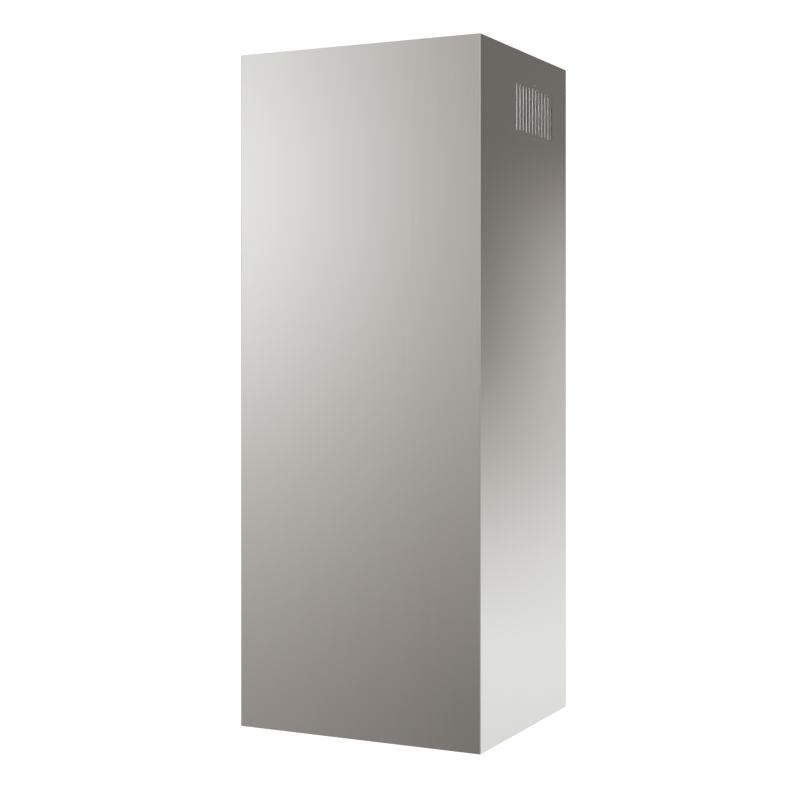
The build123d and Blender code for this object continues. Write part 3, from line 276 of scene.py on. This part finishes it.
def soft_dome():
    """Glowing dome all round, brighter towards its top and hidden from the camera."""
    material, tree_nodes, links, glow = emission_material("dome_glow")
    place = tree_nodes.new("ShaderNodeNewGeometry").outputs["Position"]
    _, _, height = split_place(tree_nodes, links, place)
    levels = ramp(tree_nodes, DOME_LEVELS)
    rise = math_node(tree_nodes, links, "ADD", height, ROOM / 2)
    links.new(math_node(tree_nodes, links, "DIVIDE", rise, ROOM), levels.inputs[0])
    links.new(levels.outputs[0], glow.inputs["Strength"])
    bpy.ops.mesh.primitive_uv_sphere_add(segments=DOME_SEGMENTS, ring_count=DOME_RINGS, radius=ROOM / 2)
    dome = bpy.context.object
    dome.name = "dome"
    dome.data.materials.append(material)
    dome.visible_camera = False
    dome.visible_shadow = False


def make_stage():
    """Pale floor and white surroundings, and soft light from cards and a dome that the camera misses."""
    white_surroundings()
    white_floor()
    soft_dome()
    turn = CAMERA_TURN
    across = (math.cos(turn), -math.sin(turn))
    front = (-CARD_AWAY * math.sin(turn), casing_low.y - CARD_AWAY * math.cos(turn))
    light_card("front_card", front, across, CARD_HALF_WIDTH, FRONT_LINES, FRONT_LEFT, FRONT_RIGHT)
    side = (casing_high.x + CARD_AWAY * math.sin(turn), casing_middle.y + CARD_AWAY * math.cos(turn))
    light_card("side_card", side, across, CARD_HALF_WIDTH, SIDE_LINES, SIDE_REAR, SIDE_NEAR)
    corner = (casing_high.x + CARD_AWAY * math.cos(turn), casing_low.y - CARD_AWAY * math.sin(turn))
    across_corner = (math.sin(turn), math.cos(turn))
    light_card("corner_card", corner, across_corner, CORNER_CARD_HALF_WIDTH, CORNER_LINES, CORNER, CORNER)
    fill_card()


# ------------------------------------------------------------------ materials
CASING_SHEET = 0.001       # thickness of the casing's sheet
PEG_SHADE_EDGE = (0.0001, 0.0003)   # into the sheet, where the painted shade on the pegs starts and is full
STEEL_DARK = (0.632, 0.625, 0.606)
STEEL_LIGHT = (0.663, 0.656, 0.637)
FILTER_STEEL_DARK = (0.58, 0.57, 0.56)
ZINC_DARK = (0.57, 0.575, 0.58)
ZINC_LIGHT = (0.64, 0.645, 0.65)
ZINC_CRYSTALS = 260.0      # per metre
ZINC_ROUGHNESS = (0.34, 0.40)
GLASS_DARK = (0.86, 0.88, 0.88)
GLASS_LIGHT = (0.96, 0.97, 0.97)
GLASS_GRAIN = 600.0
GLASS_ROUGHNESS = (0.35, 0.5)
GLASS_CLEAR = 0.25         # share of light that the frosted glass lets through
GLASS_INDEX = 1.49
VENT_COLOUR = (0.84, 0.83, 0.81)
VENT_ROUGHNESS = 0.5
# painted shade: dark grey on the pegs' ends, standing in for the shade inside the casing's small holes
PEG_PAINTED_SHADE = (0.22, 0.215, 0.205)
BRUSHED_BROAD = (5.0, 5.0, 2.0)      # scales of the slow drift of brushed sheet
BRUSHED_FINE_SHARE = 0.7             # the grain's share in its colour, and the drift has the rest
BRUSHED_BUMP = 0.0004
PLAIN_BROAD = (14.0, 14.0, 14.0)     # scales of the slow drift of other surfaces
ROUGHNESS_DRIFT = 0.15


def stretched_noise(tree_nodes, links, scale, detail):
    """Noise in object space, stretched by the three scales; gives its value socket."""
    coordinates = tree_nodes.new("ShaderNodeTexCoord").outputs["Object"]
    mapping = tree_nodes.new("ShaderNodeMapping")
    mapping.inputs["Scale"].default_value = scale
    links.new(coordinates, mapping.inputs[0])
    noise = tree_nodes.new("ShaderNodeTexNoise")
    noise.inputs["Scale"].default_value = 1.0
    noise.inputs["Detail"].default_value = detail
    links.new(mapping.outputs[0], noise.inputs["Vector"])
    return noise.outputs[0]


def tint(tree_nodes, links, shader, value, dark, light):
    """Base colour that moves between two colours with value."""
    mix = tree_nodes.new("ShaderNodeMix")
    mix.data_type = "RGBA"
    mix.inputs["A"].default_value = (*dark, 1)
    mix.inputs["B"].default_value = (*light, 1)
    links.new(value, mix.inputs["Factor"])
    links.new(mix.outputs["Result"], shader.inputs["Base Color"])


def bump(tree_nodes, links, shader, value, strength, distance):
    """Bump on the shader from a value."""
    node = tree_nodes.new("ShaderNodeBump")
    node.inputs["Strength"].default_value = strength
    node.inputs["Distance"].default_value = distance
    links.new(value, node.inputs["Height"])
    links.new(node.outputs[0], shader.inputs["Normal"])


def brushed(name, grain, dark, light, rough_low, rough_high, depth=0.06):
    """Brushed sheet steel, its grain along the axis where the grain scale is small."""
    material, tree_nodes, links, shader = new_material(name)
    shader.inputs["Metallic"].default_value = 1.0
    fine = stretched_noise(tree_nodes, links, grain, 4.0)
    broad = stretched_noise(tree_nodes, links, BRUSHED_BROAD, 2.0)
    both = math_node(tree_nodes, links, "ADD",
                     math_node(tree_nodes, links, "MULTIPLY", fine, BRUSHED_FINE_SHARE),
                     math_node(tree_nodes, links, "MULTIPLY", broad, 1 - BRUSHED_FINE_SHARE))
    tint(tree_nodes, links, shader, spread(tree_nodes, links, both, 0.0, 1.0), dark, light)
    links.new(spread(tree_nodes, links, both, rough_low, rough_high), shader.inputs["Roughness"])
    bump(tree_nodes, links, shader, fine, depth, BRUSHED_BUMP)
    return material


def plain(name, colour, roughness, metallic=0.0, grain=900.0, vary=0.12, depth=0.1,
          bump_distance=0.0002):
    """Moulded, cast or coated surface with fine grain, slight colour drift and roughness drift."""
    material, tree_nodes, links, shader = new_material(name)
    shader.inputs["Metallic"].default_value = metallic
    fine = stretched_noise(tree_nodes, links, (grain, grain, grain), 2.0)
    broad = stretched_noise(tree_nodes, links, PLAIN_BROAD, 4.0)
    dark = tuple(channel * (1 - vary) for channel in colour)
    light = tuple(min(1.0, channel * (1 + vary)) for channel in colour)
    tint(tree_nodes, links, shader, spread(tree_nodes, links, broad, 0.0, 1.0), dark, light)
    smoother = roughness * (1 - ROUGHNESS_DRIFT)
    rougher = min(1.0, roughness * (1 + ROUGHNESS_DRIFT))
    links.new(spread(tree_nodes, links, broad, smoother, rougher), shader.inputs["Roughness"])
    bump(tree_nodes, links, shader, fine, depth, bump_distance)
    return material


def vent_plastic(name):
    """Pale plastic of the vents' sleeves, with painted shade that greys its pegs where they stand in the
    casing's sheet.
    """
    material = plain(name, VENT_COLOUR, VENT_ROUGHNESS, vary=0.04)
    tree_nodes, links = material.node_tree.nodes, material.node_tree.links
    shader = next(node for node in tree_nodes if node.type == "BSDF_PRINCIPLED")
    drift = shader.inputs["Base Color"].links[0].from_socket
    place = tree_nodes.new("ShaderNodeTexCoord").outputs["Object"]
    across, _, _ = split_place(tree_nodes, links, place)
    reach = math_node(tree_nodes, links, "ABSOLUTE", across)
    sheet_inside = casing_high.x - CASING_SHEET
    edge_start, edge_full = PEG_SHADE_EDGE
    # painted shade: the pegs' ends inside the casing's holes are greyed towards the dark peg colour
    painted_shade_share = spread(tree_nodes, links, reach, 0.0, 1.0, sheet_inside + edge_start, sheet_inside + edge_full)
    mix = tree_nodes.new("ShaderNodeMix")
    mix.data_type = "RGBA"
    mix.inputs["B"].default_value = (*PEG_PAINTED_SHADE, 1)
    links.new(painted_shade_share, mix.inputs["Factor"])
    links.new(drift, mix.inputs["A"])
    links.new(mix.outputs["Result"], shader.inputs["Base Color"])
    return material


def galvanised(name):
    """Zinc-coated sheet with the broad crystals of its coating."""
    material, tree_nodes, links, shader = new_material(name)
    shader.inputs["Metallic"].default_value = 1.0
    coordinates = tree_nodes.new("ShaderNodeTexCoord").outputs["Object"]
    crystals = tree_nodes.new("ShaderNodeTexVoronoi")
    crystals.inputs["Scale"].default_value = ZINC_CRYSTALS
    links.new(coordinates, crystals.inputs["Vector"])
    value = tree_nodes.new("ShaderNodeSeparateColor")
    links.new(crystals.outputs["Color"], value.inputs[0])
    tint(tree_nodes, links, shader, value.outputs[0], ZINC_DARK, ZINC_LIGHT)
    links.new(spread(tree_nodes, links, value.outputs[1], *ZINC_ROUGHNESS), shader.inputs["Roughness"])
    return material


def frosted(name):
    """Frosted lamp glass: pale, rough and a little see-through."""
    material, tree_nodes, links, shader = new_material(name)
    fine = stretched_noise(tree_nodes, links, (GLASS_GRAIN, GLASS_GRAIN, GLASS_GRAIN), 2.0)
    tint(tree_nodes, links, shader, fine, GLASS_DARK, GLASS_LIGHT)
    links.new(spread(tree_nodes, links, fine, *GLASS_ROUGHNESS), shader.inputs["Roughness"])
    shader.inputs["Transmission Weight"].default_value = GLASS_CLEAR
    shader.inputs["IOR"].default_value = GLASS_INDEX
    bump(tree_nodes, links, shader, fine, 0.1, 0.0002)
    return material


def slot_materials():
    """One material for each slot of the record."""
    return {
        "casing_steel": brushed("casing_steel", (1300.0, 1300.0, 6.0), STEEL_DARK, STEEL_LIGHT,
                                0.18, 0.23, depth=0.03),
        "tray_steel": brushed("tray_steel", (7.0, 900.0, 900.0), STEEL_DARK, STEEL_LIGHT, 0.26, 0.34),
        "filter_steel": brushed("filter_steel", (9.0, 900.0, 900.0), FILTER_STEEL_DARK, STEEL_LIGHT,
                                0.22, 0.3),
        "galvanised": galvanised("galvanised"),
        "frame_zinc": plain("frame_zinc", (0.66, 0.67, 0.69), 0.32, 1.0, vary=0.06),
        "zinc_screw": plain("zinc_screw", (0.72, 0.72, 0.70), 0.24, 1.0, vary=0.05),
        "filter_aluminium": plain("filter_aluminium", (0.76, 0.76, 0.76), 0.3, 1.0, vary=0.08),
        "vent_plastic": vent_plastic("vent_plastic"),
        "black_plastic": plain("black_plastic", (0.035, 0.035, 0.038), 0.48, vary=0.2),
        "key_metal": plain("key_metal", (0.66, 0.66, 0.65), 0.26, 1.0, vary=0.05),
        "fascia_black": plain("fascia_black", (0.015, 0.015, 0.017), 0.12, vary=0.2, depth=0.02),
        "lens": frosted("lens"),
        "led": plain("led", (0.85, 0.82, 0.70), 0.4, vary=0.05),
        "board_green": plain("board_green", (0.03, 0.16, 0.08), 0.35, vary=0.2),
        "rubber": plain("rubber", (0.03, 0.03, 0.03), 0.7, vary=0.2),
        "charcoal": plain("charcoal", (0.02, 0.02, 0.02), 0.8, grain=400.0, vary=0.4, depth=0.9,
                          bump_distance=0.002),
        "motor_alloy": plain("motor_alloy", (0.52, 0.52, 0.52), 0.42, 1.0, depth=0.3),
        "motor_copper": plain("motor_copper", (0.60, 0.33, 0.16), 0.38, 1.0, grain=500.0),
        "shaft_steel": plain("shaft_steel", (0.62, 0.62, 0.62), 0.2, 1.0, vary=0.05),
    }


def paint_nodes(materials):
    """Give every CAD node the material of its slot."""
    for entry in record["subparts"]:
        piece = nodes[entry["node"]]
        for place in piece.material_slots:
            place.material = materials[entry["material_slot"]]


# ------------------------------------------------------------------ filter mesh
LAYER_STRAND = 0.0007      # width of the slit strands
LAYER_THICKNESS = 0.0004
LAYER_WAVE = 0.0007        # each layer is crimped into shallow waves
LAYER_WAVE_LENGTH = 0.017
LAYER_WAVE_SKEW = 0.4      # how much of the way across is added to the way along the waves
FINE_DIAMOND = (0.0034, 0.0023)      # half the length of an opening, and the strands' spacing
COARSE_DIAMOND = (0.0044, 0.0031)


def expanded_layer(low, high, height, diamond, phase):
    """Vertices and faces of one expanded-metal layer: zigzag strands that meet their neighbours."""
    step, spacing = diamond
    vertices = []
    faces = []
    stations = int((high.x - low.x) / step)
    strands = int((high.y - low.y) / spacing)
    slope = math.atan2(spacing, step)
    half = LAYER_STRAND / 2 / math.cos(slope)
    for strand in range(strands):
        middle = low.y + (strand + 0.5) * spacing
        first = len(vertices)
        for station in range(stations + 1):
            x = low.x + station * step
            y = middle + (spacing / 2 - half) * (1 if (station + strand) % 2 else -1)
            along = (x + LAYER_WAVE_SKEW * y) / LAYER_WAVE_LENGTH
            z = height + LAYER_WAVE * math.sin(math.tau * along + phase)
            for side, rise in SQUARE:
                vertices.append((x, y + side * half, z + rise * LAYER_THICKNESS / 2))
        for station in range(stations):
            here = first + 4 * station
            for corner in range(4):
                after = (corner + 1) % 4
                faces.append((here + corner, here + corner + 4, here + after + 4, here + after))
        last = first + 4 * stations
        faces.append((first, first + 1, first + 2, first + 3))
        faces.append((last + 3, last + 2, last + 1, last))
    return vertices, faces


def make_filter_mesh(materials):
    """Three crimped layers of expanded aluminium in place of the filter's plain slab."""
    low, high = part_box("filter_mesh")
    margin = LAYER_WAVE + LAYER_THICKNESS
    vertices = []
    faces = []
    layers = ((low.z + margin, FINE_DIAMOND, 0.0),
              ((low.z + high.z) / 2, COARSE_DIAMOND, 2.0),
              (high.z - margin, COARSE_DIAMOND, 4.0))
    for height, diamond, phase in layers:
        add_shape(vertices, faces, expanded_layer(low, high, height, diamond, phase))
    piece = mesh_object("filter_mesh_layers", vertices, faces, materials["filter_aluminium"])
    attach(piece, "filter")
    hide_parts("filter_mesh")


# ------------------------------------------------------------------ lamp lenses
LENS_RIDGES = 14
LENS_RIDGE_DEPTH = 0.00035
LENS_RIDGED_SHARE = 0.94   # of the lens's radius
LENS_TURNS = 96


def revolve(centre, profile, turns):
    """Vertices and faces of a closed solid of revolution about a vertical line through centre.

    The profile runs from the axis at the top, outwards, and back to the axis at the bottom."""
    vertices = []
    faces = []
    inner = profile[1:-1]
    top = 0
    bottom = 1
    vertices.append((centre.x, centre.y, profile[0][1]))
    vertices.append((centre.x, centre.y, profile[-1][1]))
    for turn in range(turns):
        angle = math.tau * turn / turns
        for radius, z in inner:
            vertices.append((centre.x + radius * math.cos(angle), centre.y + radius * math.sin(angle), z))
    count = len(inner)
    for turn in range(turns):
        here = 2 + turn * count
        there = 2 + (turn + 1) % turns * count
        faces.append((top, here, there))
        for step in range(count - 1):
            faces.append((here + step, here + step + 1, there + step + 1, there + step))
        faces.append((bottom, there + count - 1, here + count - 1))
    return vertices, faces


def make_lenses(materials):
    """Both frosted lenses, with rings pressed into their lower faces, in place of the plain discs."""
    low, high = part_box("lamp_lenses")
    radius = (high.y - low.y) / 2
    middle_y = (high.y + low.y) / 2
    step = LENS_RIDGED_SHARE * radius / LENS_RIDGES
    vertices = []
    faces = []
    for x in (low.x + radius, high.x - radius):
        profile = [(0.0, high.z), (radius, high.z), (radius, low.z)]
        for ridge in range(LENS_RIDGES, 0, -1):
            profile.append((ridge * step, low.z))
            profile.append(((ridge - 0.5) * step, low.z + LENS_RIDGE_DEPTH))
        profile.append((0.0, low.z))
        add_shape(vertices, faces, revolve(Vector((x, middle_y, 0)), profile, LENS_TURNS))
    piece = mesh_object("lamp_lenses_ringed", vertices, faces, materials["lens"])
    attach(piece, "hood")
    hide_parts("lamp_lenses")


# ------------------------------------------------------------------ marks on the keys
MARK_PROUD = 0.00012
MARK_SUNK = 0.0003         # run into the key, so that nothing shows between
MARK_LINE = 0.0008
DOT_RADIUS = 0.0009
DOT_SPACING = 0.0030
RING_RADIUS = 0.0032
DISC_TURNS = 40


def disc(x, y, low, high, outer, inner):
    """Vertices and faces of a flat disc or ring between two heights."""
    vertices = []
    faces = []
    radii = (outer, inner) if inner else (outer,)
    for turn in range(DISC_TURNS):
        angle = math.tau * turn / DISC_TURNS
        for radius in radii:
            for z in (low, high):
                vertices.append((x + radius * math.cos(angle), y + radius * math.sin(angle), z))
    count = 2 * len(radii)
    for turn in range(DISC_TURNS):
        here = turn * count
        there = (turn + 1) % DISC_TURNS * count
        faces.append((here, there, there + 1, here + 1))
        if inner:
            faces.append((here + 2, here + 3, there + 3, there + 2))
            faces.append((here, here + 2, there + 2, there))
            faces.append((here + 1, there + 1, there + 3, here + 3))
    if not inner:
        faces.append(tuple(turn * count for turn in reversed(range(DISC_TURNS))))
        faces.append(tuple(turn * count + 1 for turn in range(DISC_TURNS)))
    return vertices, faces


def key_mark(key, shapes, body, materials):
    """Small raised mark under one key, made of rings and dots, which moves with the key."""
    low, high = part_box(key)
    x = (low.x + high.x) / 2
    y = (low.y + high.y) / 2
    vertices = []
    faces = []
    for shift_x, outer, inner in shapes:
        shape = disc(x + shift_x, y, low.z - MARK_PROUD, low.z + MARK_SUNK, outer, inner)
        add_shape(vertices, faces, shape)
    piece = mesh_object(f"{key}_mark", vertices, faces, materials["fascia_black"])
    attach(piece, body)


def make_key_marks(materials):
    """A ring round a dot for the lamps, one to three dots for the speeds, and a bare ring for stop."""
    dot = (0.0, DOT_RADIUS, 0.0)
    ring = (0.0, RING_RADIUS, RING_RADIUS - MARK_LINE)
    key_mark("button_lamps", (ring, dot), "key_lamps", materials)
    for speed in (1, 2, 3):
        dots = [((place - (speed - 1) / 2) * DOT_SPACING, DOT_RADIUS, 0.0) for place in range(speed)]
        key_mark(f"button_speed_{speed}", dots, f"key_speed_{speed}", materials)
    key_mark("button_stop", (ring,), "key_stop", materials)


bpy.context.scene.view_settings.view_transform = "Standard"
make_camera()
make_stage()
materials = slot_materials()
paint_nodes(materials)
make_filter_mesh(materials)
make_lenses(materials)
make_key_marks(materials)
